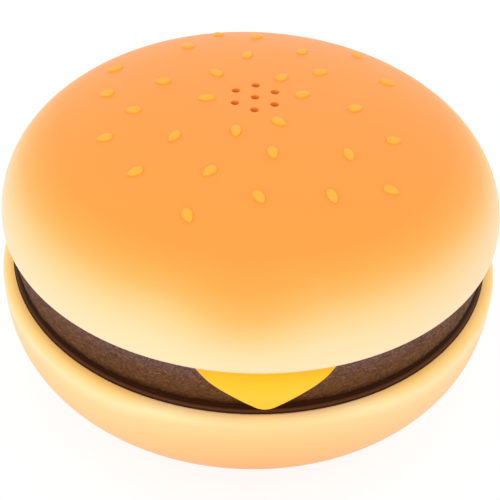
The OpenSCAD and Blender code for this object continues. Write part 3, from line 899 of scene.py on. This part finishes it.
def cheese_outline():
    """The slice laid flat: front, right and left corners, cut straight at the rear."""
    # Outline of one corner as it leaves the deck: half width and distance from the middle
    corner = [(14.6, 59.4), (12.2, 62.4), (8.2, 65.7), (2.6, 70.3), (1.0, 71.1)]
    rear_y = 53.0 * MM
    rear_half_w = 21.0 * MM
    outline = []
    for turn in (-90, 0):
        angle = math.radians(turn)
        for half, out in [(-h, o) for h, o in corner] + [(h, o) for h, o in reversed(corner)]:
            point = Vector((out * math.cos(angle) - half * math.sin(angle),
                            out * math.sin(angle) + half * math.cos(angle)))
            outline.append(point * MM)
    outline += [Vector((rear_half_w, rear_y)), Vector((-rear_half_w, rear_y))]
    right = [p for p in outline if p.x > 30 * MM and abs(p.y) < 20 * MM]
    outline += [Vector((-p.x, p.y)) for p in reversed(right)]
    return softened(outline, 14)


def cheese_openings():
    """Key windows, the three microphone holes and the hole of the plunger."""
    holes = []
    for name, _ in KEYS:
        middle, w, d, _ = key_size(name)
        window = rounded_rect(middle.x, middle.y, w + 1 * MM, d + 1 * MM, 3.2 * MM, clockwise=True)
        holes.append(window)
    holes += [circle(x, -47 * MM, 0.7 * MM, 16, clockwise=True) for x in (-3 * MM, 0, 3 * MM)]
    holes.append(circle(0, 42 * MM, 2.2 * MM, 24, clockwise=True))
    return holes


def make_cheese():
    """Slice draped over the patty, with finer triangles where it bends."""
    step = 1.2 * MM
    filling = []
    for i in range(-60, 61):
        for j in range(-60, 61):
            p = Vector(((i + 0.5 * (j % 2)) * step, j * step))
            if p.length > 50 * MM:
                filling.append(p)
    bm = bmesh.new()
    plate(bm, [cheese_outline()] + cheese_openings(), CHEESE_T, fold, 0.45 * MM, filling)
    piece("cheese_drape", bm, "base", CHEESE, ["cheese_slice"])


def softened(loop, steps):
    """The loop with short even steps and its corners eased."""
    points = []
    for a, b in zip(loop, loop[1:] + loop[:1]):
        count = max(int((b - a).length / (0.6 * MM)), 1)
        points += [a.lerp(b, i / count) for i in range(count)]
    for _ in range(steps):
        points = [
            (points[i - 1] + 2 * p + points[(i + 1) % len(points)]) / 4 for i, p in enumerate(points)
        ]
    return points


# ---- Keys ----


def make_key(name):
    """Cap with a slightly domed top over the flange that the cheese holds in."""
    middle, w, d, top = key_size(name)
    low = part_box(name)[0][2]
    cap_h = top - low - 1.3 * MM

    def on_cap(p, lift):
        u, v = 2 * (p.x - middle.x) / w, 2 * (p.y - middle.y) / d
        return (p.x, p.y, top - cap_h + lift - KEY_CROWN * (u * u + v * v) * lift / cap_h * 0.5)

    def on_flange(p, lift):
        return (p.x, p.y, low + lift)

    bm = bmesh.new()
    cap = rounded_rect(middle.x, middle.y, w, d, KEY_CORNER_R, 8)
    filling = [p for inset in (1.0, 1.8, 2.6) for p in moved_in(cap, inset * MM)]
    plate(bm, [cap], cap_h, on_cap, 0.6 * MM, filling)
    flange = rounded_rect(middle.x, middle.y, w + 2 * KEY_FLANGE, d + 2 * KEY_FLANGE, KEY_CORNER_R)
    plate(bm, [flange], KEY_FLANGE_T, on_flange, 0.1 * MM)
    piece(cap_name(name), bm, name, KEY, [name])


def cap_name(name):
    return name.replace("key", "cap")


def make_keys():
    for name, mark in KEYS:
        make_key(name)
        add_mark(name, mark)


def add_mark(name, mark):
    """Printed sign on a key: a figure, or a bar on the two keys below the figures."""
    middle, _, _, top = key_size(name)
    shift = Vector((middle.x, middle.y, top))
    bm = bmesh.new()
    if mark:
        add_text(bm, mark, (8.5 if mark == "*" else 6.2) * MM)
        flat = [v.co.xy for v in bm.verts]
        low = Vector((min(p.x for p in flat), min(p.y for p in flat), 0))
        high = Vector((max(p.x for p in flat), max(p.y for p in flat), 0))
        shift -= (low + high) / 2
    else:
        bar = rounded_rect(0, 0, 5 * MM, 1.2 * MM, 0.6 * MM)
        plate(bm, [bar], 2 * INK_T, lambda p, lift: (p.x, p.y, lift - INK_T), 0.01 * MM)
    bmesh.ops.translate(bm, verts=bm.verts, vec=shift)
    piece(cap_name(name) + "_mark", bm, name, INK)


def add_text(bm, text, size):
    """Flat letters round the origin."""
    curve = bpy.data.curves.new("work", "FONT")
    curve.body = text
    curve.size = size
    curve.align_x = "CENTER"
    curve.align_y = "CENTER"
    curve.extrude = INK_T
    curve.resolution_u = 6
    work = bpy.data.objects.new("work", curve)
    bpy.context.collection.objects.link(work)
    bpy.context.view_layer.update()
    evaluated = work.evaluated_get(bpy.context.evaluated_depsgraph_get())
    bm.from_mesh(evaluated.to_mesh())
    evaluated.to_mesh_clear()
    bpy.data.objects.remove(work)
    bpy.data.curves.remove(curve)


# ---- Light, floor and camera ----


def make_floor():
    size = 3.0
    corners = [(-size, -size, 0), (size, -size, 0), (size, size, 0), (-size, size, 0)]
    mesh = bpy.data.meshes.new("floor")
    mesh.from_pydata(corners, [], [(0, 1, 2, 3)])
    white = plain("floor_white", (120, 122, 123), 0.9, grain=0.02, scale=60.0)
    glow = white.node_tree.nodes["Principled BSDF"]
    glow.inputs["Emission Color"].default_value = (1, 1, 1, 1)
    glow.inputs["Emission Strength"].default_value = 0.82
    mesh.materials.append(white)
    floor = bpy.data.objects.new("floor", mesh)
    bpy.context.collection.objects.link(floor)


def add_light(name, place, aim, size, power):
    """Round lamp at a place, turned to its aim."""
    light = bpy.data.lights.new(name, "AREA")
    light.shape = "DISK"
    light.size = size
    light.energy = power
    obj = bpy.data.objects.new(name, light)
    obj.location = place
    obj.rotation_euler = (Vector(aim) - Vector(place)).to_track_quat("-Z", "Y").to_euler()
    bpy.context.collection.objects.link(obj)


def make_lights():
    world = bpy.data.worlds.new("studio")
    world.use_nodes = True
    background = world.node_tree.nodes["Background"]
    background.inputs["Color"].default_value = (1.0, 1.0, 0.99, 1)
    background.inputs["Strength"].default_value = 0.97
    bpy.context.scene.world = world
    aim = (0, 0, 0.04)
    add_light("key", (-0.4, -0.75, 0.5), aim, 0.5, 1.35)
    add_light("fill", (0.7, -0.5, 0.4), aim, 0.9, 0.25)
    add_light("back", (0.1, 0.8, 0.6), aim, 0.9, 0.15)


def make_camera():
    """Camera at the photograph's viewing angle, looking down at the front from close by."""
    azimuth, elevation, roll = math.radians(-4.7), math.radians(38.9), math.radians(2.27)
    target = Vector((0, 0, 0.039))
    distance = 0.2928
    back = Vector((
        math.sin(azimuth) * math.cos(elevation),
        -math.cos(azimuth) * math.cos(elevation),
        math.sin(elevation),
    ))
    data = bpy.data.cameras.new("camera")
    data.sensor_width = 36
    data.lens = 79.45
    data.shift_y = -0.0488
    data.clip_start = 0.01
    camera = bpy.data.objects.new("camera", data)
    turn = (-back).to_track_quat("-Z", "Y").to_matrix().to_4x4() @ Matrix.Rotation(roll, 4, "Z")
    camera.matrix_world = Matrix.Translation(target + back * distance) @ turn
    bpy.context.collection.objects.link(camera)
    bpy.context.scene.camera = camera
    bpy.context.scene.view_settings.view_transform = "Standard"


make_camera()
make_floor()
make_lights()
dress_cad_nodes()
make_top_bun()
make_seeds()
make_lower_bun()
make_patty_crust()
make_cheese()
make_keys()
